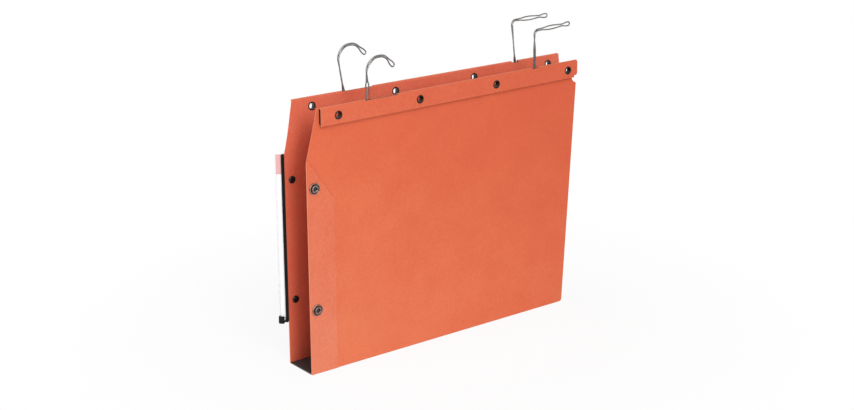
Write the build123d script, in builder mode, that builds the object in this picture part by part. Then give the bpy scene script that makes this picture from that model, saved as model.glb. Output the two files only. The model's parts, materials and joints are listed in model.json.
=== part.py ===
"""Hanging file folder for a lateral filing cabinet.

Two folded card panels stand on a stiff base board and open about its creases. Each panel's top edge
is folded into a sleeve that hides a folded steel bar, and the bar carries two hairpin wire hooks: a
round one that slides in a long slot and an angled one. Eyelets rivet the sleeve shut, snap sockets on
the front take the studs of the next folder, and the same studs hold a slanting label holder on the
back.

The base board lies on the XY plane with its underside centred on the origin. X runs along the
folder, with the label end at -X, and the front panel is on the -Y side.
"""

import os
from math import cos, radians, sin, tan

from build123d import *

# Card pocket
panel_width = 330.0
panel_height = 260.0
pocket_depth = 36.0
card = 0.6
foot_taper = 12.0
shoulder_reach = 2.0
corner_round = 3.0
base_thick = 1.2
crease_gap = 0.3

# Slanting top left corner and the hem folded back along the left edge
slant_drop = 50.0
slant_inset = 13.4
hem_width = 30.0
hem_drop = 39.0
hem_tip = 3.0

# The back panel's top leans outwards, and beyond its stiff left edge it comes nearer to the front
stiff_width = 20.0
back_lean = 8.0
toe_in = 8.5
bow_radius = 200.0

# Sleeve along the top edge, its right hand end and the slots for the hooks
flap_drop = 17.5
flap_inset = 15.0
strip_overhangs = {"front": 0.0, "back": 7.0}
strip_round = 0.8
strip_foot_round = 1.6
notch_drop = 15.0
notch_inset = 3.8
notch_height = 6.5
notch_exit = 24.6
notch_round = 1.2
notch_sweep = 6.0
crown_margin = 0.5
slot_depth = 1.0
slot_margin = 1.5
angle_notch_depths = {"front": 1.0, "back": 2.1}
angle_notch_left = 6.2
angle_notch_right = 3.8
angle_notch_chamfer = 3.0

# Bars, each a steel strip folded double, and the hairpin hooks that stand between its leaves
wire = 1.4
leaf = 0.5
bar_end_gap = 0.5
bar_edge_gap = 1.5
sleeve_clear = 0.2
foot_depth = 9.5
round_hook_places = {"front": 70.0, "back": 73.0}
round_hook_rises = {"front": 23.6, "back": 26.7}
round_hook_tilts = {"front": 3.0, "back": 5.0}
round_hook_travel = 30.0
round_hook_radius = 14.3
round_hook_sweep = 140.5
angle_hook_insets = {"front": 55.4, "back": 49.2}
angle_hook_rises = {"front": 37.4, "back": 40.4}
angle_hook_tilts = {"front": 1.5, "back": 0.0}
angle_hook_reach = 37.0

# Spacing of a hook's two strands, and how far they turn about each other
strand_gap = 0.15
twist_gap = 0.4
stem_spreads = {"front": 3.4, "back": 1.8}
arm_spread = 3.6
tip_spread = 3.8
tip_length = 9.4
half_turns = {"front": 180.0, "back": -180.0}
stem_turns = {"front": 0.0, "back": -50.0}
stem_turn_start = 0.5
stem_turn_end = 6.0
stem_open = 0.85
arm_turned = 0.28
arm_opens = 0.48
arm_closes = 0.68
tip_opens = 0.5

# Eyelets through the sleeve
eyelet_count = 4
eyelet_first = 34.4
eyelet_lasts = {"front": 12.7, "back": 8.2}
eyelet_drop = 9.2
eyelet_bore = 5.8
eyelet_wall = 0.4
eyelet_flange = 8.2
eyelet_rim = 0.5
eyelet_roll = 0.22
hole_clear = 0.1

# Snap sockets on the front panel and studs on the back panel
snap_inset = 7.8
snap_drop = 25.7
snap_rise = 64.6
socket_diameter = 11.2
socket_rim = 1.3
socket_cup = 7.0
socket_cup_height = 2.2
socket_mouth = 4.6
socket_plate = 0.4
spring_wire = 0.6
spring_gap = 40.0
cap_diameter = 8.0
cap_dome = 1.7
cap_round = 1.5
post_diameter = 3.4
post_flare = 0.7
stud_head = 7.4
stud_dome = 1.5
stud_round = 1.3
stud_ball = 4.4
stud_ball_height = 1.5
stud_ball_round = 1.3
stud_length = 3.4

# Label holder on the back panel's left edge
label_bottom = 44.0
rail_flange_width = 13.0
rail_flange = 1.0
rail_arm = 2.0
rail_wall = 0.8
rail_root = 0.9
sleeve_reach = 8.2
sleeve_wall = 0.5
label_paper = 0.3
label_play = 0.3
label_foot_thick = 1.6
knob_length = 5.6
knob_width = 4.4
knob_height = 7.7
knob_drop = 1.7
knob_round = 0.9
knob_chamfer = 0.8

# Worked out from the sizes above
half_depth = pocket_depth / 2
left_x = -panel_width / 2
slant_height = panel_height - slant_drop
hem_shoulder = slant_height - hem_drop
bow_height = slant_height + bow_radius * tan(radians(back_lean / 2))
strip_ends = {side: panel_width + overhang for side, overhang in strip_overhangs.items()}
sheet_length = panel_width + max(shoulder_reach, *strip_overhangs.values())
bar_gap = wire + 2 * sleeve_clear
bar_thick = bar_gap + 2 * leaf
bar_depth = card + sleeve_clear
fold_radius = bar_depth + bar_thick / 2
sleeve_thick = 2 * fold_radius
bar_top = panel_height - fold_radius
bar_bottom = panel_height - flap_drop + bar_edge_gap
foot_height = panel_height - foot_depth
touch_spread = wire + strand_gap
twist_spread = wire + twist_gap
angle_hook_places = {side: panel_width - inset for side, inset in angle_hook_insets.items()}
eyelet_height = panel_height - eyelet_drop
eyelet_spans = {side: panel_width - eyelet_first - last for side, last in eyelet_lasts.items()}
eyelet_places = {
    side: [eyelet_first + span * number / (eyelet_count - 1) for number in range(eyelet_count)]
    for side, span in eyelet_spans.items()
}
snap_heights = {"upper": slant_height - snap_drop, "lower": snap_rise}
label_top = slant_height
hem_thick = 2 * card
back_toe = toe_in * (sheet_length - stiff_width) / (panel_width - stiff_width)

# Each panel's strip plane: x along the strip from the left edge, y up, z towards the front
front_plane = Plane(origin=(left_x, -half_depth, 0), x_dir=(1, 0, 0), z_dir=(0, -1, 0))
strip_x = Vector(panel_width - stiff_width, -toe_in, 0).normalized()
strip_z = strip_x.cross(Vector(0, sin(radians(back_lean)), cos(radians(back_lean)))).normalized()
strip_y = strip_z.cross(strip_x)
back_corner = Vector(left_x + stiff_width, half_depth, bow_height)
back_origin = back_corner - strip_x * stiff_width - strip_y * bow_height
back_plane = Plane(origin=back_origin, x_dir=strip_x, z_dir=strip_z)
strips = {"front": (front_plane, 1), "back": (back_plane, -1)}


def finish(part, label):
    """Names a finished piece and writes it out."""
    part.label = label
    export_step(part, f"parts/{label}.step")


# Card panels


def card_section(x, out, toe):
    """The folded card cut across at x: up the inner face, over the fold and down the flap."""
    crease = Vector(-out * half_depth, 0)
    rise = panel_height - fold_radius
    with BuildSketch(Plane.YZ.offset(x)) as section:
        with BuildLine():
            if out > 0:
                face = Line(crease, crease + Vector(0, rise))
            else:
                corner = crease + Vector(out * toe, bow_height)
                lean = Vector(-out * sin(radians(back_lean)), cos(radians(back_lean)))
                face = FilletPolyline(
                    crease, corner, corner + lean * (rise - bow_height), radius=bow_radius
                )
            fold = JernArc(face @ 1, face % 1, fold_radius, 180 * out)
            Line(fold @ 1, fold @ 1 + (fold % 1) * (flap_drop - fold_radius))
            offset(amount=card, side=Side.LEFT if out > 0 else Side.RIGHT)
        make_face()
    return section.sketch


def hem_section(x, out, toe):
    """The folded-back hem cut across at x, from inside the sheet to the hem's outer face."""
    with BuildSketch(Plane.YZ.offset(x)) as section:
        with BuildLine():
            Polyline(
                (-out * (half_depth + card / 2), 0),
                (-out * (half_depth - toe + card / 2), bow_height),
                (-out * (half_depth - toe + hem_thick), bow_height),
                (-out * (half_depth + hem_thick), 0),
                close=True,
            )
        make_face()
    return section.sketch


def drawn_along(section, outline, out, toe):
    """A section drawn along the panel, straight over the stiff edge, and trimmed to an outline."""
    stiff_x = left_x + stiff_width
    with BuildPart() as sheet:
        extrude(section(left_x, out, 0), amount=stiff_width)
        loft([section(stiff_x, out, 0), section(left_x + sheet_length, out, toe)], ruled=True)
        extrude(outline, amount=pocket_depth + toe_in, both=True, mode=Mode.INTERSECT)
    return sheet.part


def panel_outline(strip_end):
    """The panel seen from the front, with the notch that frees the strip's right end."""
    top = panel_height + crown_margin
    slant = slant_inset / slant_drop
    notch_x = panel_width - notch_inset
    notch_top = panel_height - notch_drop
    corners = [
        ((0, 0), 0),
        ((0, slant_height), corner_round),
        ((slant * (top - slant_height), top), corner_round),
        ((strip_end, top), strip_round),
        ((strip_end, notch_top), strip_foot_round),
        ((notch_x, notch_top), notch_round),
        ((notch_x, notch_top - notch_height), notch_sweep),
        ((panel_width + shoulder_reach, panel_height - notch_exit), notch_round),
        ((panel_width - foot_taper, 0), corner_round),
    ]
    with BuildSketch(front_plane) as outline:
        with BuildLine():
            FilletPolyline(*[at for at, _ in corners], radius=[turn for _, turn in corners], close=True)
        make_face()
    return outline.sketch


def hem_outline():
    """The hem, which narrows to a tip below the slanting corner."""
    with BuildSketch(front_plane) as outline:
        with BuildLine():
            Polyline(
                (0, 0),
                (hem_width, 0),
                (hem_width, hem_shoulder),
                (hem_tip, slant_height - card),
                (0, slant_height - hem_tip),
                close=True,
            )
        make_face()
    return outline.sketch


def make_panel(name, toe):
    """One card panel with its sleeve, hem, hook slots and fastener holes."""
    strip, out = strips[name]
    sheet = drawn_along(card_section, panel_outline(strip_ends[name]), out, toe)
    hem = drawn_along(hem_section, hem_outline(), out, toe)
    with BuildPart() as panel:
        add(sheet)
        add(hem)
        # The flap starts further in than the slanting corner
        with BuildSketch(strip.offset(out * fold_radius)):
            with Locations((flap_inset, panel_height)):
                Rectangle(flap_inset, 2 * flap_drop + 2 * crown_margin, align=(Align.MAX, Align.CENTER))
        extrude(amount=out * sleeve_thick, mode=Mode.SUBTRACT)
        # Slots in the fold for the sliding round hook and the angled hook
        with BuildSketch(strip.offset(-out * crown_margin)):
            half_stem = (stem_spreads[name] + wire) / 2 + slot_margin
            with Locations((round_hook_places[name] - half_stem, panel_height - slot_depth)):
                Rectangle(2 * half_stem + round_hook_travel, sleeve_thick, align=(Align.MIN, Align.MIN))
            angle_x = angle_hook_places[name]
            floor = panel_height - angle_notch_depths[name]
            with BuildLine():
                Polyline(
                    (angle_x - angle_notch_left, panel_height + crown_margin),
                    (angle_x - angle_notch_left + angle_notch_chamfer, floor),
                    (angle_x + angle_notch_right, floor),
                    (angle_x + angle_notch_right, panel_height + crown_margin),
                    close=True,
                )
            make_face()
        extrude(amount=out * (sleeve_thick + 2 * crown_margin), mode=Mode.SUBTRACT)
        # Eyelet holes through the whole sleeve
        with BuildSketch(strip.offset(-out * crown_margin)):
            with Locations(*[(u, eyelet_height) for u in eyelet_places[name]]):
                Circle(eyelet_bore / 2 + eyelet_wall + hole_clear)
        extrude(amount=out * (sleeve_thick + 2 * crown_margin), mode=Mode.SUBTRACT)
        # Snap holes through the doubled hem
        with BuildSketch(front_plane):
            with Locations(*[(snap_inset, z) for z in snap_heights.values()]):
                Circle(post_diameter / 2 + hole_clear)
        extrude(amount=out * 2 * pocket_depth, mode=Mode.SUBTRACT)
    finish(panel.part, f"{name}_panel")


def make_base():
    """The stiff board that keeps the panels apart, from the left edge to the tapered right edge."""
    with BuildPart() as base:
        with BuildSketch():
            with Locations((left_x, 0)):
                Rectangle(
                    panel_width - foot_taper,
                    pocket_depth - 2 * crease_gap,
                    align=(Align.MIN, Align.CENTER),
                )
        extrude(amount=base_thick)
    finish(base.part, "base_board")


# Bars inside the sleeves


def bar_section(strip, out, start):
    """The bar cut across: down the inner leaf, round the fold and up the outer leaf."""
    foot = strip.from_local_coords(Vector(start, 0, 0))
    with BuildSketch(Plane(origin=foot, x_dir=strip.z_dir * out, z_dir=strip.x_dir * -out)) as section:
        with BuildLine():
            inner = Line((bar_depth, bar_top), (bar_depth, bar_bottom + bar_thick / 2))
            fold = JernArc(inner @ 1, inner % 1, bar_thick / 2, 180)
            Line(fold @ 1, (bar_depth + bar_thick, bar_top))
            offset(amount=leaf, side=Side.LEFT)
        make_face()
    return section.sketch


def make_bar(name):
    """The folded steel bar, punched for the eyelets and for the turned-in feet of the hooks."""
    strip, out = strips[name]
    start = flap_inset + bar_end_gap
    end = strip_ends[name] - bar_end_gap
    with BuildPart() as bar:
        extrude(bar_section(strip, out, start), amount=out * (start - end))
        with BuildSketch(strip):
            with Locations(*[(u, eyelet_height) for u in eyelet_places[name]]):
                Circle(eyelet_bore / 2 + eyelet_wall + hole_clear)
        extrude(amount=out * sleeve_thick, mode=Mode.SUBTRACT)
        # The feet turn in through the inner leaf only
        with BuildSketch(strip):
            with Locations((round_hook_places[name] + round_hook_travel / 2, foot_height)):
                SlotOverall(stem_spreads[name] + bar_gap + round_hook_travel, bar_gap)
            with Locations((angle_hook_places[name], foot_height)):
                SlotOverall(twist_spread + bar_gap, bar_gap)
        extrude(amount=out * fold_radius, mode=Mode.SUBTRACT)
    finish(bar.part, f"{name}_bar")


# Hairpin hooks: one wire goes up, round the tip loop and down again, with a half twist at the bend


def polar(radius, degrees):
    """A point at an angle on a circle about the origin."""
    return Vector(radius * cos(radians(degrees)), radius * sin(radians(degrees)))


def stem_corners(spread, open_to, stem_turn):
    """Corners of a stem's middle line, which turns about itself where it leaves the sleeve."""
    corners = [(Vector(0, -foot_depth), spread, 0)]
    if stem_turn:
        corners.append((Vector(0, stem_turn_start), spread, 0))
        corners.append((Vector(0, stem_turn_end), spread, stem_turn))
    corners.append((Vector(0, open_to), spread, stem_turn))
    return corners


def round_hook_spine(name):
    """Corners of a round hook's middle line, each with its strand spacing and twist."""
    rise = round_hook_rises[name]
    stem_turn = stem_turns[name]
    half_turn = half_turns[name]
    centre = Vector(round_hook_radius, rise)
    turn = round_hook_sweep / 3
    corner = round_hook_radius / cos(radians(turn / 2))
    bends = [centre + polar(corner, 180 - turn * (step + 0.5)) for step in range(3)]
    pinch = centre + polar(round_hook_radius, 180 - round_hook_sweep)
    along = polar(tip_length, 90 - round_hook_sweep)
    stem_end = Vector(0, rise - round_hook_radius / 2)
    return [
        *stem_corners(stem_spreads[name], stem_end.Y * stem_open, stem_turn),
        (stem_end, touch_spread, stem_turn),
        ((stem_end + bends[0]) / 2, twist_spread, (stem_turn + half_turn / 2) / 2),
        (bends[0], twist_spread, half_turn / 2),
        ((bends[0] + bends[1]) / 2, twist_spread, half_turn * 3 / 4),
        (bends[1], touch_spread, half_turn),
        (bends[2], touch_spread, half_turn),
        (pinch, touch_spread, half_turn),
        (pinch + along * tip_opens, tip_spread, half_turn),
        (pinch + along, tip_spread, half_turn),
    ]


def angle_hook_spine(name):
    """Corners of an angled hook's middle line, each with its strand spacing and twist."""
    rise = angle_hook_rises[name]
    stem_turn = stem_turns[name]
    half_turn = half_turns[name]
    bend = Vector(0, rise)
    arm = Vector(angle_hook_reach, 0)
    pinch = bend + arm
    tip = Vector(tip_length, 0)
    return [
        *stem_corners(twist_spread, rise / 2, stem_turn),
        (bend - bend * arm_turned, twist_spread, (stem_turn + half_turn / 2) / 2),
        (bend, twist_spread, half_turn / 2),
        (bend + arm * arm_turned / 2, twist_spread, half_turn * 3 / 4),
        (bend + arm * arm_turned, touch_spread, half_turn),
        (bend + arm * arm_opens, arm_spread, half_turn),
        (bend + arm * arm_closes, arm_spread, half_turn),
        (pinch, touch_spread, half_turn),
        (pinch + tip * tip_opens, tip_spread, half_turn),
        (pinch + tip, tip_spread, half_turn),
    ]


def strand(spine, side):
    """One strand beside the spine: half the spacing away, turned about the spine by the twist."""
    runs = [(after[0] - before[0]).normalized() for before, after in zip(spine, spine[1:])]
    normals = [Vector(-run.Y, run.X) for run in runs]
    points = []
    for number, (at, spread, twist) in enumerate(spine):
        before = normals[max(number - 1, 0)]
        after = normals[min(number, len(normals) - 1)]
        mitre = (before + after) / (1 + before.dot(after))
        reach = side * spread / 2
        points.append(
            at + mitre * (reach * cos(radians(twist))) + Vector(0, 0, reach * sin(radians(twist)))
        )
    return points


def bend_radii(points):
    """The largest bend at each corner, where a run is shared in proportion to its two turns."""
    share = 0.96
    runs = [after - before for before, after in zip(points, points[1:])]
    turns = [0] + [before.get_angle(after) for before, after in zip(runs, runs[1:])] + [0]
    radii = []
    for corner in range(1, len(points) - 1):
        before = runs[corner - 1].length * turns[corner] / (turns[corner - 1] + turns[corner])
        after = runs[corner].length * turns[corner] / (turns[corner] + turns[corner + 1])
        radii.append(share * min(before, after) / tan(radians(turns[corner] / 2)))
    return radii


def make_hook(name, kind, place, tilt, spine):
    """A hairpin hook that leans over its foot, with both wire ends turned in through the bar."""
    strip, out = strips[name]
    foot = Vector(0, foot_depth)
    spine = [((at + foot).rotate(Axis.Z, tilt) - foot, spread, twist) for at, spread, twist in spine]
    pin = Vector(0, 0, bar_depth - fold_radius)
    there = strand(spine, 1)
    back = strand(spine, -1)[::-1]
    points = [there[0] + pin, *there, *back, back[-1] + pin]
    stand = Vector(place, panel_height, fold_radius)
    corners = [stand + point for point in points]
    corners = [strip.from_local_coords(Vector(at.X, at.Y, out * at.Z)) for at in corners]
    radii = bend_radii(corners)
    radii[0] = fold_radius - bar_depth - leaf
    radii[-1] = radii[0]
    with BuildPart() as hook:
        with BuildLine() as path:
            FilletPolyline(*corners, radius=radii)
        with BuildSketch(Plane(origin=path.line @ 0, z_dir=path.line % 0)):
            Circle(wire / 2)
        sweep()
    finish(hook.part, f"{name}_{kind}")


# Turned fasteners


def turned_piece(label, seat, outward, profile):
    """A piece turned about the outward line through its seat, from corners (radius, height, round)."""
    normal = Vector(0, 0, 1).cross(outward).normalized()
    across = Plane(origin=seat, x_dir=outward.cross(normal), z_dir=normal)
    with BuildPart() as piece:
        with BuildSketch(across):
            with BuildLine():
                FilletPolyline(
                    *[(radius, height) for radius, height, _ in profile],
                    radius=[turn for _, _, turn in profile],
                    close=True,
                )
            make_face()
        revolve(axis=Axis(seat, outward))
    finish(piece.part, label)


def make_eyelets(name):
    """Tubular eyelets through flap, bar and panel, with a rolled rim on both faces."""
    strip, out = strips[name]
    bore = eyelet_bore / 2
    barrel = bore + eyelet_wall
    rim = eyelet_flange / 2
    profile = [
        (bore, -eyelet_rim, eyelet_wall),
        (rim, -eyelet_rim, eyelet_roll),
        (rim, 0, eyelet_roll),
        (barrel, 0, 0),
        (barrel, sleeve_thick, 0),
        (rim, sleeve_thick, eyelet_roll),
        (rim, sleeve_thick + eyelet_rim, eyelet_roll),
        (bore, sleeve_thick + eyelet_rim, eyelet_wall),
    ]
    for number, u in enumerate(eyelet_places[name], start=1):
        seat = strip.from_local_coords(Vector(u, eyelet_height, 0))
        turned_piece(f"{name}_eyelet_{number}", seat, strip.z_dir * out, profile)


def make_snap(level, height):
    """A socket, its split spring and the cap whose post rivets the socket to the front panel."""
    outward = Vector(0, -1, 0)
    inner = Vector(left_x + snap_inset, -half_depth, height)
    outer = inner + outward * hem_thick
    rim = socket_diameter / 2
    cup = socket_cup / 2
    mouth = socket_mouth / 2
    post = post_diameter / 2
    wall = socket_plate
    socket = [
        (post + hole_clear, 0, 0),
        (rim, 0, wall / 2),
        (rim, socket_rim, wall),
        (rim - 2 * wall, socket_rim, wall),
        (rim - 3 * wall, wall, wall),
        (cup, wall, 0),
        (cup, socket_cup_height, wall),
        (mouth, socket_cup_height, wall / 2),
        (mouth, socket_cup_height - wall, 0),
        (cup - wall, socket_cup_height - wall, 0),
        (cup - wall, wall, 0),
        (post + hole_clear, wall, 0),
    ]
    turned_piece(f"{level}_snap_socket", outer, outward, socket)
    flare = hem_thick + wall
    cap = [
        (0, -cap_dome, 0),
        (cap_diameter / 2, -cap_dome, cap_round),
        (cap_diameter / 2, 0, 0),
        (post, 0, 0),
        (post, flare, 0),
        (post + post_flare, flare, 0),
        (post, flare + post_flare, 0),
        (0, flare + post_flare, 0),
    ]
    turned_piece(f"{level}_snap_cap", inner, outward, cap)
    spring_radius = (stud_ball + spring_wire) / 2 - hole_clear
    middle = (flare - hem_thick + socket_cup_height - wall) / 2
    with BuildPart() as spring:
        with BuildLine(Plane(origin=outer + outward * middle, x_dir=(1, 0, 0), z_dir=outward)) as ring:
            CenterArc((0, 0), spring_radius, spring_gap / 2, 360 - spring_gap)
        with BuildSketch(Plane(origin=ring.line @ 0, z_dir=ring.line % 0)):
            Circle(spring_wire / 2)
        sweep()
    finish(spring.part, f"{level}_socket_spring")


def make_stud(level, height):
    """A black headed stud that holds the label rail on the back and snaps into the next folder."""
    outward = Vector(0, 1, 0)
    head = stud_head / 2
    seat = Vector(left_x + snap_inset, half_depth, height)
    post = post_diameter / 2
    rail_face = hem_thick + rail_flange
    collar = post + post_flare
    ball = stud_ball / 2
    tip = rail_face + stud_length
    profile = [
        (0, -stud_dome, 0),
        (head, -stud_dome, stud_round),
        (head, 0, 0),
        (post, 0, 0),
        (post, rail_face, 0),
        (collar + post_flare, rail_face, 0),
        (collar, rail_face + post_flare, post_flare / 2),
        (post, rail_face + post_flare, 0),
        (post, tip - ball, 0),
        (ball, tip - stud_ball_height, 0),
        (ball, tip, stud_ball_round),
        (0, tip, 0),
    ]
    turned_piece(f"{level}_label_stud", seat, outward, profile)


# Label holder, slanting out and back from the left edge


def make_label_holder():
    """Rail, clear sleeve, paper label and end foot, in the plane that slants at 45 degrees."""
    rail_back = half_depth + hem_thick
    corner = Vector(left_x, rail_back + rail_flange / 2, label_bottom)
    slanted = Plane(origin=corner, x_dir=(-1, 1, 0), z_dir=(0, 0, 1))
    length = label_top - label_bottom
    inside = label_paper + 2 * label_play
    sleeve = inside + 2 * sleeve_wall
    groove = sleeve + 2 * hole_clear
    arm = groove + 2 * rail_wall
    groove_floor = rail_wall
    sleeve_start = groove_floor + hole_clear

    with BuildPart() as rail:
        with BuildSketch(slanted):
            with Locations((-rail_root, 0)):
                Rectangle(rail_arm + rail_root, arm, align=(Align.MIN, Align.CENTER))
        extrude(amount=length)
        with BuildSketch(Plane.XY.offset(label_bottom)):
            with Locations((left_x, rail_back)):
                Rectangle(rail_flange_width, rail_flange, align=(Align.MIN, Align.MIN))
        extrude(amount=length)
        # The card's edge sits in a rebate, and the sleeve in a groove
        with BuildSketch(Plane.XY.offset(label_bottom)):
            with Locations((left_x - hole_clear, rail_back)):
                Rectangle(rail_flange_width, pocket_depth, align=(Align.MIN, Align.MAX))
        extrude(amount=length, mode=Mode.SUBTRACT)
        with BuildSketch(slanted):
            with Locations((groove_floor, 0)):
                Rectangle(rail_arm, groove, align=(Align.MIN, Align.CENTER))
        extrude(amount=length, mode=Mode.SUBTRACT)
        with BuildSketch(front_plane):
            with Locations(*[(snap_inset, z) for z in snap_heights.values()]):
                Circle(post_diameter / 2 + hole_clear)
        extrude(amount=-2 * pocket_depth, mode=Mode.SUBTRACT)
    finish(rail.part, "label_rail")

    with BuildPart() as cover:
        with BuildSketch(slanted):
            with Locations((sleeve_start, 0)):
                Rectangle(sleeve_reach - sleeve_start, sleeve, align=(Align.MIN, Align.CENTER))
                Rectangle(
                    sleeve_reach - sleeve_start - sleeve_wall,
                    inside,
                    align=(Align.MIN, Align.CENTER),
                    mode=Mode.SUBTRACT,
                )
        extrude(amount=length)
        fillet(cover.edges().filter_by(Axis.Z).sort_by(Axis.X)[:2], sleeve_wall * 0.9)
    finish(cover.part, "label_sleeve")

    with BuildPart() as paper:
        with BuildSketch(slanted.offset(label_play)):
            with Locations((sleeve_start + label_play, 0)):
                Rectangle(
                    sleeve_reach - sleeve_start - sleeve_wall - 2 * label_play,
                    label_paper,
                    align=(Align.MIN, Align.CENTER),
                )
        extrude(amount=length - 2 * label_play)
    finish(paper.part, "label_card")

    with BuildPart() as foot:
        knob_end = sleeve_reach + rail_wall + hole_clear
        with BuildSketch(slanted):
            Rectangle(knob_end, groove, align=(Align.MIN, Align.CENTER))
        extrude(amount=-label_foot_thick)
        with BuildSketch(slanted.offset(-label_foot_thick - knob_drop)):
            with Locations((knob_end, 0)):
                RectangleRounded(knob_length, knob_width, knob_round, align=(Align.MAX, Align.CENTER))
        extrude(amount=knob_height)
        fillet(foot.faces().sort_by(Axis.Z)[-1].edges(), knob_round)
        chamfer(foot.faces().sort_by(Axis.Z)[0].edges(), knob_chamfer)
        with BuildSketch(slanted):
            Rectangle(sleeve_reach + hole_clear, groove, align=(Align.MIN, Align.CENTER))
        extrude(amount=knob_height, mode=Mode.SUBTRACT)
    finish(foot.part, "label_foot")


os.makedirs("parts", exist_ok=True)

make_base()
make_panel("front", 0)
make_panel("back", back_toe)
for side_name in strips:
    make_bar(side_name)
    make_eyelets(side_name)
    round_stand = (round_hook_places[side_name], round_hook_tilts[side_name])
    angle_stand = (angle_hook_places[side_name], angle_hook_tilts[side_name])
    make_hook(side_name, "round_hook", *round_stand, round_hook_spine(side_name))
    make_hook(side_name, "angle_hook", *angle_stand, angle_hook_spine(side_name))
for level_name, snap_height in snap_heights.items():
    make_snap(level_name, snap_height)
    make_stud(level_name, snap_height)
make_label_holder()
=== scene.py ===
"""Dresses the hanging file folder: pressed card, dark board, steel wire, dark metal and plastic."""

import json
from math import cos, radians, sin

import bmesh
import bpy
from mathutils import Matrix, Vector


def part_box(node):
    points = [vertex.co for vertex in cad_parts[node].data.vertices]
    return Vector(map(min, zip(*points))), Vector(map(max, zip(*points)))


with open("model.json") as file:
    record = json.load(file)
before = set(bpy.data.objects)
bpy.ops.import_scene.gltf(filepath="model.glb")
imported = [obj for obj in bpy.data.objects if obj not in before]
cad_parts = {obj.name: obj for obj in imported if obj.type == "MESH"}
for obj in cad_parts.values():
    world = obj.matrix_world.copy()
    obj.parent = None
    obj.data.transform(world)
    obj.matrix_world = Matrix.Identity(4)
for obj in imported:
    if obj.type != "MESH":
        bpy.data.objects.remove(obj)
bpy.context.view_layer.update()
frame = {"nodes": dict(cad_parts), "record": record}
nodes = frame["nodes"]
scene = bpy.context.scene

# Sizes of the folder that the finishes follow, in metres
PANEL_LEFT = -0.165
HEM_EDGE = PANEL_LEFT + 0.030
HEM_SHOULDER = 0.171
HEM_TIP = (PANEL_LEFT + 0.003, 0.2094)
FLAP_START = PANEL_LEFT + 0.015
FLAP_EDGE = 0.2425
LABEL_TOP = 0.210
LABEL_BAND = 0.0197

# Widths of the seams between colours, and how far in the film's fold is tinted, in metres
SEAM = 0.0002
BAND_SEAM = 0.0003
FOLD_TINT_STARTS, FOLD_TINT_FULL = 0.0016, 0.0006

# The painted shadow line beside the hem's step: its width and rise in metres, and its strength below
# and above
HEM_SHADOW_WIDTH = 0.0010
HEM_SHADOW_RISE = 0.004
HEM_SHADOW_FAINT, HEM_SHADOW_CLEAR = 0.14, 0.45

# How the card's colour is painted with light and shade: paler low on the left of the outside and
# deeper towards its upper right, as painted light, and deeper low down inside, as painted shade
PAINTED_LIGHT_ALONG, PAINTED_LIGHT_UP = 0.66, 1.45
PAINTED_LIGHT_PALEST, PAINTED_LIGHT_DEEPEST = -0.105, 0.455
INSIDE_SHADE_LOW, INSIDE_SHADE_HIGH = 0.14, 0.23
INSIDE_SHADE_DEEPER, INSIDE_SHADE_PALER = 0.12, -0.08

# Colours of the card from pale to deep, linear; random tone and the painted light and shade both
# move along them
ORANGE = (
    (0.0, (0.830, 0.225, 0.108)),
    (0.5, (0.772, 0.156, 0.069)),
    (1.0, (0.700, 0.118, 0.054)),
)
REVERSE = (
    (0.0, (0.830, 0.254, 0.144)),
    (0.5, (0.765, 0.166, 0.078)),
    (1.0, (0.690, 0.122, 0.058)),
)
INSIDE = (
    (0.0, (0.840, 0.230, 0.138)),
    (0.5, (0.780, 0.156, 0.084)),
    (1.0, (0.710, 0.118, 0.066)),
)

# Other colours, linear
CUT_EDGE = (0.830, 0.330, 0.200)
# A painted shadow beside the hem's step, darker than the card
PAINTED_HEM_SHADOW = (0.460, 0.066, 0.030)
PALE_FIBRE = (0.860, 0.520, 0.400)
DARK_FIBRE = (0.130, 0.060, 0.045)
BOARD_DARK, BOARD_PALE = (0.030, 0.021, 0.020), (0.062, 0.046, 0.042)
BOARD_CUT = (0.120, 0.096, 0.088)
WIRE_DARK, WIRE_PALE = (0.140, 0.129, 0.126), (0.320, 0.304, 0.299)
BAR_DARK, BAR_PALE = (0.020, 0.020, 0.020), (0.050, 0.050, 0.050)
EYELET_DARK, EYELET_PALE = (0.014, 0.012, 0.011), (0.060, 0.053, 0.049)
SOCKET_DARK, SOCKET_PALE = (0.175, 0.114, 0.096), (0.500, 0.350, 0.306)
ENAMEL_DARK, ENAMEL_PALE = (0.005, 0.005, 0.005), (0.010, 0.010, 0.010)
RAIL_DARK, RAIL_PALE = (0.003, 0.003, 0.003), (0.007, 0.007, 0.007)
FOOT_DARK, FOOT_PALE = (0.008, 0.008, 0.008), (0.018, 0.018, 0.018)
FILM_HAZY, FILM_CLEAR = (0.93, 0.935, 0.96), (0.98, 0.982, 0.99)
FILM_FOLD = (0.640, 0.610, 0.720)
PAPER_DARK, PAPER_PALE = (0.945, 0.943, 0.947), (0.970, 0.969, 0.972)
BAND_DARK, BAND_PALE = (0.76, 0.39, 0.37), (0.81, 0.44, 0.42)

# How rough the smoothest spots of each metal are
BAR_SHINE, EYELET_SHINE, SOCKET_SHINE = 0.35, 0.20, 0.20

# The studio's colours, floor and world, with lengths in metres
WHITE = (1.0, 1.0, 1.0, 1.0)
FLOOR_GREY = (0.92, 0.92, 0.92, 1.0)
FLOOR_REACH = 6.0
FLOOR_DROP = 0.0003
FLOOR_NEAR, FLOOR_NEAR_WHITE = 0.18, 0.90
FLOOR_AWAY, FLOOR_AWAY_WHITE = 0.42, 1.0
WORLD_LIGHT = 0.37

# Each lamp's place and size in metres and its power in watts, and the point that all of them face
LAMP_AIM = (0.0, 0.0, 0.13)
LAMPS = {
    "front_soft_box": ((-0.6, -2.35, 1.4), (0.8, 1.5), 22.2),
    "upper_soft_box": ((-0.6, -1.8, 1.75), (1.5, 1.5), 18.5),
    "edge_soft_box": ((-2.2, 0.2, 1.0), (1.0, 1.0), 18.0),
}


# Node helpers


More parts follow.
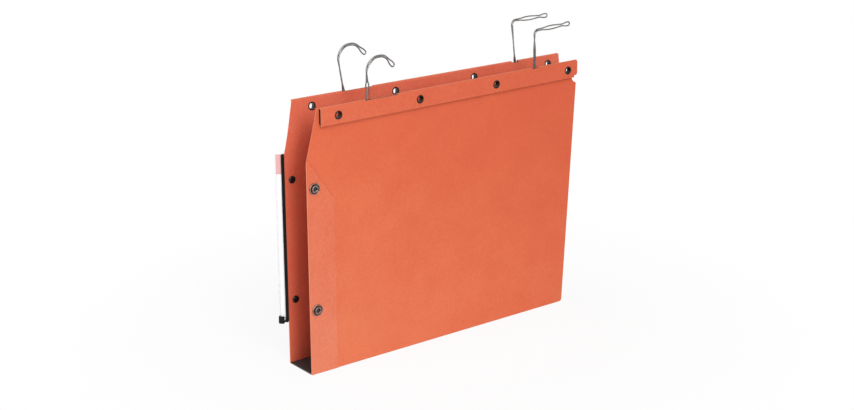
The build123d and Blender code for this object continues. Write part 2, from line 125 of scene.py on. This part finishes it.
class Finish:
    """A material whose nodes are added one at a time, with Object coordinates ready to use."""

    def __init__(self, name):
        self.material = bpy.data.materials.new(name)
        self.material.use_nodes = True
        self.tree = self.material.node_tree
        self.shader = self.tree.nodes["Principled BSDF"]
        coordinates = self.add("ShaderNodeTexCoord")
        self.place = coordinates.outputs["Object"]
        self.facing = coordinates.outputs["Normal"]

    def add(self, kind, **settings):
        node = self.tree.nodes.new(kind)
        for key, value in settings.items():
            setattr(node, key, value)
        return node

    def link(self, source, target):
        self.tree.links.new(source, target)

    def stretched(self, scale):
        """Object coordinates scaled unevenly, so that a pattern runs along one direction."""
        mapping = self.add("ShaderNodeMapping")
        mapping.inputs["Scale"].default_value = scale
        self.link(self.place, mapping.inputs["Vector"])
        return mapping.outputs["Vector"]

    def noise(self, scale, detail, rough, place=None):
        node = self.add("ShaderNodeTexNoise")
        node.inputs["Scale"].default_value = scale
        node.inputs["Detail"].default_value = detail
        node.inputs["Roughness"].default_value = rough
        self.link(place or self.place, node.inputs["Vector"])
        return node.outputs["Fac"]

    def ramp(self, value, *stops):
        """A value turned into colours or greys at two or more stops."""
        node = self.add("ShaderNodeValToRGB")
        elements = node.color_ramp.elements
        while len(elements) < len(stops):
            elements.new(0.5)
        for element, (position, colour) in zip(elements, stops):
            shades = colour if isinstance(colour, tuple) else (colour, colour, colour)
            element.position = position
            element.color = (*shades, 1.0)
        self.link(value, node.inputs["Fac"])
        return node.outputs["Color"]

    def spread(self, value, low, high, start=0.0, end=1.0):
        """A value carried from one range to another, held at both ends."""
        node = self.add("ShaderNodeMapRange")
        limits = {"From Min": low, "From Max": high, "To Min": start, "To Max": end}
        for key, number in limits.items():
            node.inputs[key].default_value = number
        self.link(value, node.inputs["Value"])
        return node.outputs["Result"]

    def axis(self, letter, vector=None):
        node = self.add("ShaderNodeSeparateXYZ")
        self.link(vector or self.place, node.inputs["Vector"])
        return node.outputs[letter]

    def specks(self, scale, size, place=None):
        """Sparse small dots, one to a cell."""
        node = self.add("ShaderNodeTexVoronoi")
        node.inputs["Scale"].default_value = scale
        self.link(place or self.place, node.inputs["Vector"])
        return self.spread(node.outputs["Distance"], size, size * 0.5)

    def recess(self, reach):
        """How open a point is to its surroundings on its own piece: 1 on a rim, less in a groove."""
        node = self.add("ShaderNodeAmbientOcclusion", only_local=True, samples=12)
        node.inputs["Distance"].default_value = reach
        return node.outputs["AO"]

    def mixed(self, factor, first, second, blend="MIX"):
        node = self.add("ShaderNodeMix", data_type="RGBA", blend_type=blend)
        for socket, value in (("Factor", factor), ("A", first), ("B", second)):
            target = [s for s in node.inputs if s.name == socket and s.enabled][0]
            if isinstance(value, bpy.types.NodeSocket):
                self.link(value, target)
            else:
                target.default_value = value if isinstance(value, float) else (*value, 1.0)
        return [s for s in node.outputs if s.enabled][0]

    def combined(self, operation, first, second):
        node = self.add("ShaderNodeMath", operation=operation)
        for target, value in zip(node.inputs, (first, second)):
            if isinstance(value, bpy.types.NodeSocket):
                self.link(value, target)
            else:
                target.default_value = value
        return node.outputs["Value"]

    def colour(self, value):
        self.link(value, self.shader.inputs["Base Color"])

    def rough(self, value):
        self.link(value, self.shader.inputs["Roughness"])

    def fixed(self, **values):
        """Constants, set on the shader's own sockets."""
        for key, value in values.items():
            self.shader.inputs[key.replace("_", " ")].default_value = value

    def relief(self, *layers):
        """Bump layers, each a height, a strength and a depth in metres."""
        normal = None
        for height, strength, depth in layers:
            bump = self.add("ShaderNodeBump")
            bump.inputs["Strength"].default_value = strength
            bump.inputs["Distance"].default_value = depth
            self.link(height, bump.inputs["Height"])
            if normal is not None:
                self.link(normal, bump.inputs["Normal"])
            normal = bump.outputs["Normal"]
        self.link(normal, self.shader.inputs["Normal"])


# Finishes


def hem_distance(card):
    """How far a point of the panel lies outside the folded hem, in metres; below 0 inside it."""
    tip_x, tip_z = HEM_TIP
    across = Vector((tip_z - HEM_SHOULDER, HEM_EDGE - tip_x)).normalized()
    past_edge = card.combined("SUBTRACT", card.axis("X"), HEM_EDGE)
    past_shoulder = card.combined("SUBTRACT", card.axis("Z"), HEM_SHOULDER)
    past_slope = card.combined(
        "ADD",
        card.combined("MULTIPLY", past_edge, across.x),
        card.combined("MULTIPLY", past_shoulder, across.y),
    )
    return card.combined("MAXIMUM", past_edge, past_slope)


def pressed_card(name, outward):
    """Dyed pressboard: cloudy dye, flecks and stray fibres, a pinker reverse, pale cut edges, and
    painted light and shade across its faces.
    """
    card = Finish(name)
    flecks = card.noise(1500.0, 8.0, 0.7)
    mottle = card.noise(330.0, 5.0, 0.6)
    clouds = card.noise(32.0, 4.0, 0.55)
    fibres = card.noise(1.0, 5.0, 0.6, card.stretched((260.0, 260.0, 1400.0)))
    facing = card.axis("Y", card.facing)
    outer_face = card.spread(card.combined("MULTIPLY", facing, outward), 0.2, 0.5)
    inner_face = card.spread(outer_face, 0.0, 1.0, 1.0, 0.0)

    # Painted light on the outside: paler low down on the left, deeper towards the upper right;
    # painted shade on the inside: deeper low down, paler at the top
    along = card.combined("MULTIPLY", card.axis("X"), PAINTED_LIGHT_ALONG)
    painted_light_rise = card.combined("ADD", along, card.combined("MULTIPLY", card.axis("Z"), PAINTED_LIGHT_UP))
    outer_painted_light = card.spread(painted_light_rise, PAINTED_LIGHT_PALEST, PAINTED_LIGHT_DEEPEST, -0.5, 0.5)
    outer_painted_light = card.combined("MULTIPLY", outer_painted_light, outer_face)
    # Painted shade inside the pocket: deeper colour low down, paler towards the top
    inner_painted_shade = card.spread(
        card.axis("Z"), INSIDE_SHADE_LOW, INSIDE_SHADE_HIGH, INSIDE_SHADE_DEEPER, INSIDE_SHADE_PALER
    )
    inner_painted_shade = card.combined("MULTIPLY", inner_painted_shade, inner_face)
    tone_and_painted_shading = card.combined("ADD", card.combined("ADD", outer_painted_light, inner_painted_shade), 0.5)
    for patches, depth in ((clouds, 0.13), (mottle, 0.13), (flecks, 0.60)):
        tone_and_painted_shading = card.combined("ADD", tone_and_painted_shading, card.spread(patches, 0.25, 0.75, -depth, depth))
    outside = card.ramp(tone_and_painted_shading, *ORANGE)
    reverse = card.mixed(outer_face, card.ramp(tone_and_painted_shading, *INSIDE), card.ramp(tone_and_painted_shading, *REVERSE))

    # The sheet's outer face shows below and beside the flap and beside the hem; the rest is reverse
    past_hem = hem_distance(card)
    off_hem = card.spread(past_hem, -SEAM, 0.0)
    below_flap = card.spread(card.axis("Z"), FLAP_EDGE - SEAM, FLAP_EDGE - 3.0 * SEAM)
    beside_flap = card.spread(card.axis("X"), FLAP_START, FLAP_START - 2.0 * SEAM)
    off_flap = card.combined("MAXIMUM", below_flap, beside_flap)
    on_sheet = card.combined("MULTIPLY", off_hem, off_flap)
    on_sheet = card.combined("MULTIPLY", outer_face, on_sheet)
    colour = card.mixed(on_sheet, reverse, outside)

    # A painted shadow line beside the hem's step, clear along its slanting end and faint along its
    # straight edge
    hem_shadow = card.combined("MULTIPLY", card.spread(past_hem, HEM_SHADOW_WIDTH, SEAM), on_sheet)
    hem_shadow_strength = card.spread(
        card.axis("Z"), HEM_SHOULDER, HEM_SHOULDER + HEM_SHADOW_RISE, HEM_SHADOW_FAINT, HEM_SHADOW_CLEAR
    )
    colour = card.mixed(card.combined("MULTIPLY", hem_shadow, hem_shadow_strength), colour, PAINTED_HEM_SHADOW)

    # Flecks, stray fibres, and a paler colour wherever the surface turns edge-on to the sheet, on
    # the cut edges and over the crown of the top fold
    colour = card.mixed(0.4, colour, card.ramp(flecks, (0.28, 0.90), (0.72, 1.0)), "MULTIPLY")
    colour = card.mixed(0.35, colour, card.ramp(fibres, (0.34, 0.88), (0.62, 1.0)), "MULTIPLY")
    pale = card.combined(
        "MULTIPLY",
        card.specks(46.0, 0.045),
        card.spread(clouds, 0.52, 0.60, 0.0, 0.6),
    )
    colour = card.mixed(pale, colour, PALE_FIBRE)
    dark = card.combined(
        "MULTIPLY",
        card.specks(1.0, 0.024, card.stretched((26.0, 26.0, 11.0))),
        card.spread(mottle, 0.44, 0.50, 0.0, 0.7),
    )
    colour = card.mixed(dark, colour, DARK_FIBRE)
    edge = card.combined("ABSOLUTE", facing, 0.0)
    colour = card.mixed(card.spread(edge, 0.55, 0.15, 0.0, 0.75), colour, CUT_EDGE)
    card.colour(colour)
    card.rough(card.spread(flecks, 0.3, 0.7, 0.70, 0.84))
    card.fixed(Specular_IOR_Level=0.22)
    waves = card.noise(9.0, 2.0, 0.4)
    card.relief((waves, 0.35, 0.0020), (fibres, 0.25, 0.00012), (flecks, 0.3, 0.00010))
    return card.material


def dark_board():
    """Stiff board, nearly black, with paler fibres and paler cut sides."""
    board = Finish("base_dark_board")
    flecks = board.noise(900.0, 8.0, 0.7)
    fibres = board.noise(1.0, 5.0, 0.6, board.stretched((180.0, 1100.0, 1100.0)))
    colour = board.ramp(flecks, (0.35, BOARD_DARK), (0.72, BOARD_PALE))
    level = board.combined("ABSOLUTE", board.axis("Z", board.facing), 0.0)
    colour = board.mixed(board.spread(level, 0.6, 0.3, 0.0, 0.6), colour, BOARD_CUT)
    streaks = board.ramp(fibres, (0.35, 0.72), (0.62, 1.0))
    board.colour(board.mixed(0.7, colour, streaks, "MULTIPLY"))
    board.rough(board.spread(flecks, 0.3, 0.7, 0.62, 0.80))
    board.fixed(Specular_IOR_Level=0.35)
    board.relief((fibres, 0.3, 0.00015), (flecks, 0.35, 0.00012))
    return board.material


def drawn_wire():
    """Drawn steel wire with duller patches, and painted shade in the groove between its two runs."""
    wire = Finish("hook_drawn_wire")
    dull = wire.noise(140.0, 4.0, 0.6)
    grain = wire.noise(2600.0, 3.0, 0.5)
    steel = wire.ramp(dull, (0.32, WIRE_DARK), (0.68, WIRE_PALE))
    # Painted shade: the colour is darkened where the wire's two runs hide each other from the light
    painted_groove_shade = wire.ramp(wire.recess(0.0012), (0.45, 0.08), (0.92, 1.0))
    wire.colour(wire.mixed(1.0, steel, painted_groove_shade, "MULTIPLY"))
    wire.rough(wire.spread(dull, 0.35, 0.70, 0.15, 0.24))
    wire.fixed(Metallic=1.0)
    wire.relief((grain, 0.06, 0.00001))
    return wire.material


def blackened_metal(name, dark, pale, shine):
    """Darkened metal, with pale wear in patches and shade in its recesses."""
    plate = Finish(name)
    wear = plate.noise(520.0, 6.0, 0.65)
    shade = plate.ramp(plate.recess(0.0018), (0.35, 0.12), (0.92, 1.0))
    worn = plate.ramp(wear, (0.35, dark), (0.72, pale))
    plate.colour(plate.mixed(1.0, worn, shade, "MULTIPLY"))
    plate.rough(plate.spread(wear, 0.3, 0.75, shine, shine + 0.16))
    plate.fixed(Metallic=1.0)
    plate.relief((wear, 0.12, 0.00004))
    return plate.material


def black_enamel():
    """Black enamel on the stud heads and caps."""
    enamel = Finish("stud_black_enamel")
    peel = enamel.noise(700.0, 4.0, 0.5)
    enamel.colour(enamel.ramp(peel, (0.35, ENAMEL_DARK), (0.70, ENAMEL_PALE)))
    enamel.rough(enamel.spread(peel, 0.3, 0.7, 0.07, 0.12))
    enamel.fixed(Specular_IOR_Level=0.5)
    enamel.relief((peel, 0.08, 0.00005))
    return enamel.material


def black_plastic(name, dark, pale):
    """Extruded black plastic with faint draw lines along its length and a fine grain."""
    plastic = Finish(name)
    grain = plastic.noise(1800.0, 5.0, 0.6)
    draw = plastic.noise(1.0, 3.0, 0.5, plastic.stretched((2600.0, 2600.0, 30.0)))
    plastic.colour(plastic.ramp(grain, (0.35, dark), (0.70, pale)))
    plastic.rough(plastic.spread(draw, 0.3, 0.7, 0.36, 0.52))
    plastic.fixed(Specular_IOR_Level=0.12)
    plastic.relief((draw, 0.15, 0.00004), (grain, 0.2, 0.00004))
    return plastic.material


def clear_film():
    """Clear folded film over the label, with faint haze, and a tint along its fold."""
    film = Finish("label_clear_film")
    haze = film.noise(240.0, 5.0, 0.6)
    clear = film.ramp(haze, (0.30, FILM_HAZY), (0.75, FILM_CLEAR))
    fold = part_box("label_sleeve")[0].x
    near_fold = film.spread(film.axis("X"), fold + FOLD_TINT_STARTS, fold + FOLD_TINT_FULL)
    film.colour(film.mixed(near_fold, clear, FILM_FOLD))
    film.rough(film.spread(haze, 0.35, 0.75, 0.05, 0.14))
    film.link(film.spread(near_fold, 0.0, 1.0, 0.03, 0.16), film.shader.inputs["Alpha"])
    film.relief((film.noise(30.0, 2.0, 0.4), 0.15, 0.0004))
    return film.material


def label_paper():
    """White label paper with a plain coloured band across its top."""
    paper = Finish("label_white_paper")
    flecks = paper.noise(1300.0, 7.0, 0.65)
    white = paper.ramp(flecks, (0.30, PAPER_DARK), (0.65, PAPER_PALE))
    pink = paper.ramp(flecks, (0.30, BAND_DARK), (0.70, BAND_PALE))
    band_edge = LABEL_TOP - LABEL_BAND
    band = paper.spread(paper.axis("Z"), band_edge, band_edge + BAND_SEAM)
    paper.colour(paper.mixed(band, white, pink))
    paper.rough(paper.spread(flecks, 0.3, 0.7, 0.60, 0.74))
    paper.relief((flecks, 0.2, 0.00006))
    return paper.material


finishes = {
    "front_card": pressed_card("front_pressed_card", -1.0),
    "back_card": pressed_card("back_pressed_card", 1.0),
    "dark_board": dark_board(),
    "hook_wire": drawn_wire(),
    "bar_steel": blackened_metal("bar_black_steel", BAR_DARK, BAR_PALE, BAR_SHINE),
    "eyelet_metal": blackened_metal(
        "eyelet_black_nickel", EYELET_DARK, EYELET_PALE, EYELET_SHINE
    ),
    "socket_metal": blackened_metal(
        "socket_aged_nickel", SOCKET_DARK, SOCKET_PALE, SOCKET_SHINE
    ),
    "cap_metal": black_enamel(),
    "rail_plastic": black_plastic("rail_black_plastic", RAIL_DARK, RAIL_PALE),
    "foot_plastic": black_plastic("foot_black_plastic", FOOT_DARK, FOOT_PALE),
    "clear_plastic": clear_film(),
    "label_paper": label_paper(),
}
for subpart in frame["record"]["subparts"]:
    node = nodes[subpart["node"]]
    for slot in node.material_slots:
        slot.material = finishes[subpart["material_slot"]]


# Studio: pale floor, soft light and the photograph's camera


def white_to_camera(tree, shown, lighting, share=None):
    """Mixes a white glow over a shader where it is seen, reflected or looked through, by a share."""
    rays = tree.nodes.new("ShaderNodeLightPath")
    seen = rays.outputs["Is Camera Ray"]
    for ray in ("Is Glossy Ray", "Is Transmission Ray"):
        either = tree.nodes.new("ShaderNodeMath")
        either.operation = "MAXIMUM"
        tree.links.new(seen, either.inputs[0])
        tree.links.new(rays.outputs[ray], either.inputs[1])
        seen = either.outputs["Value"]
    if share is not None:
        part = tree.nodes.new("ShaderNodeMath")
        part.operation = "MULTIPLY"
        tree.links.new(seen, part.inputs[0])
        tree.links.new(share, part.inputs[1])
        seen = part.outputs["Value"]
    mix = tree.nodes.new("ShaderNodeMixShader")
    tree.links.new(seen, mix.inputs["Fac"])
    tree.links.new(lighting, mix.inputs[1])
    tree.links.new(shown, mix.inputs[2])
    return mix.outputs["Shader"]


def floor_white():
    """Pale matte that looks white away from the folder, and nearly white where its shadow falls."""
    material = bpy.data.materials.new("floor_white")
    material.use_nodes = True
    tree = material.node_tree
    tree.nodes.clear()
    matte = tree.nodes.new("ShaderNodeBsdfDiffuse")
    matte.inputs["Color"].default_value = FLOOR_GREY
    glow = tree.nodes.new("ShaderNodeEmission")
    out = tree.nodes.new("ShaderNodeOutputMaterial")
    coordinates = tree.nodes.new("ShaderNodeTexCoord")
    away = tree.nodes.new("ShaderNodeVectorMath")
    away.operation = "LENGTH"
    tree.links.new(coordinates.outputs["Object"], away.inputs[0])
    share = tree.nodes.new("ShaderNodeMapRange")
    share.inputs["From Min"].default_value = FLOOR_NEAR
    share.inputs["From Max"].default_value = FLOOR_AWAY
    share.inputs["To Min"].default_value = FLOOR_NEAR_WHITE
    share.inputs["To Max"].default_value = FLOOR_AWAY_WHITE
    tree.links.new(away.outputs["Value"], share.inputs["Value"])
    surface = white_to_camera(
        tree, glow.outputs["Emission"], matte.outputs["BSDF"], share.outputs["Result"]
    )
    tree.links.new(surface, out.inputs["Surface"])
    return material


def studio_floor():
    """A wide pale floor just below the folder, which takes its shadow."""
    shape = bmesh.new()
    bmesh.ops.create_grid(shape, x_segments=1, y_segments=1, size=FLOOR_REACH)
    bmesh.ops.translate(shape, verts=shape.verts, vec=(0.0, 0.0, -FLOOR_DROP))
    mesh = bpy.data.meshes.new("studio_floor")
    shape.to_mesh(mesh)
    shape.free()
    floor = bpy.data.objects.new("studio_floor", mesh)
    scene.collection.objects.link(floor)
    mesh.materials.append(floor_white())


def studio_world():
    """Even white surroundings, weaker as a light than they look."""
    world = bpy.data.worlds.new("studio_world")
    world.use_nodes = True
    tree = world.node_tree
    light = tree.nodes["Background"]
    light.inputs["Color"].default_value = WHITE
    light.inputs["Strength"].default_value = WORLD_LIGHT
    white = tree.nodes.new("ShaderNodeBackground")
    white.inputs["Color"].default_value = WHITE
    surface = white_to_camera(tree, white.outputs["Background"], light.outputs["Background"])
    tree.links.new(surface, tree.nodes["World Output"].inputs["Surface"])
    scene.world = world


def soft_box(name, place, size, power):
    """A large rectangular lamp that faces the folder's middle."""
    lamp = bpy.data.lights.new(name, "AREA")
    lamp.shape = "RECTANGLE"
    lamp.size, lamp.size_y = size
    lamp.energy = power
    holder = bpy.data.objects.new(name, lamp)
    holder.location = place
    facing = Vector(LAMP_AIM) - Vector(place)
    holder.rotation_euler = facing.to_track_quat("-Z", "Y").to_euler()
    scene.collection.objects.link(holder)


def photo_camera():
    """The photograph's viewpoint, fitted to the folder's corners and fasteners."""
    azimuth, elevation, roll = radians(-37.586), radians(17.812), radians(-0.268)
    target = Vector((-0.01148, 0.0, 0.13473))
    distance = 1.6798
    focal_px, image_width = 1700.0, 854
    ahead = cos(elevation)
    back = Vector((sin(azimuth) * ahead, -cos(azimuth) * ahead, sin(elevation)))
    level = Vector((0, 0, 1)).cross(back).normalized()
    upright = back.cross(level)
    right = level * cos(roll) + upright * sin(roll)
    up = upright * cos(roll) - level * sin(roll)
    lens = bpy.data.cameras.new("photo_camera")
    lens.sensor_fit = "HORIZONTAL"
    lens.sensor_width = 36.0
    lens.lens = focal_px / image_width * lens.sensor_width
    lens.clip_end = 20.0
    camera = bpy.data.objects.new("photo_camera", lens)
    turn = Matrix((right, up, back)).transposed().to_4x4()
    camera.matrix_world = Matrix.Translation(target + back * distance) @ turn
    scene.collection.objects.link(camera)
    scene.camera = camera


studio_floor()
studio_world()
for lamp_name, (lamp_place, lamp_size, lamp_power) in LAMPS.items():
    soft_box(lamp_name, lamp_place, lamp_size, lamp_power)
photo_camera()
scene.view_settings.view_transform = "Standard"
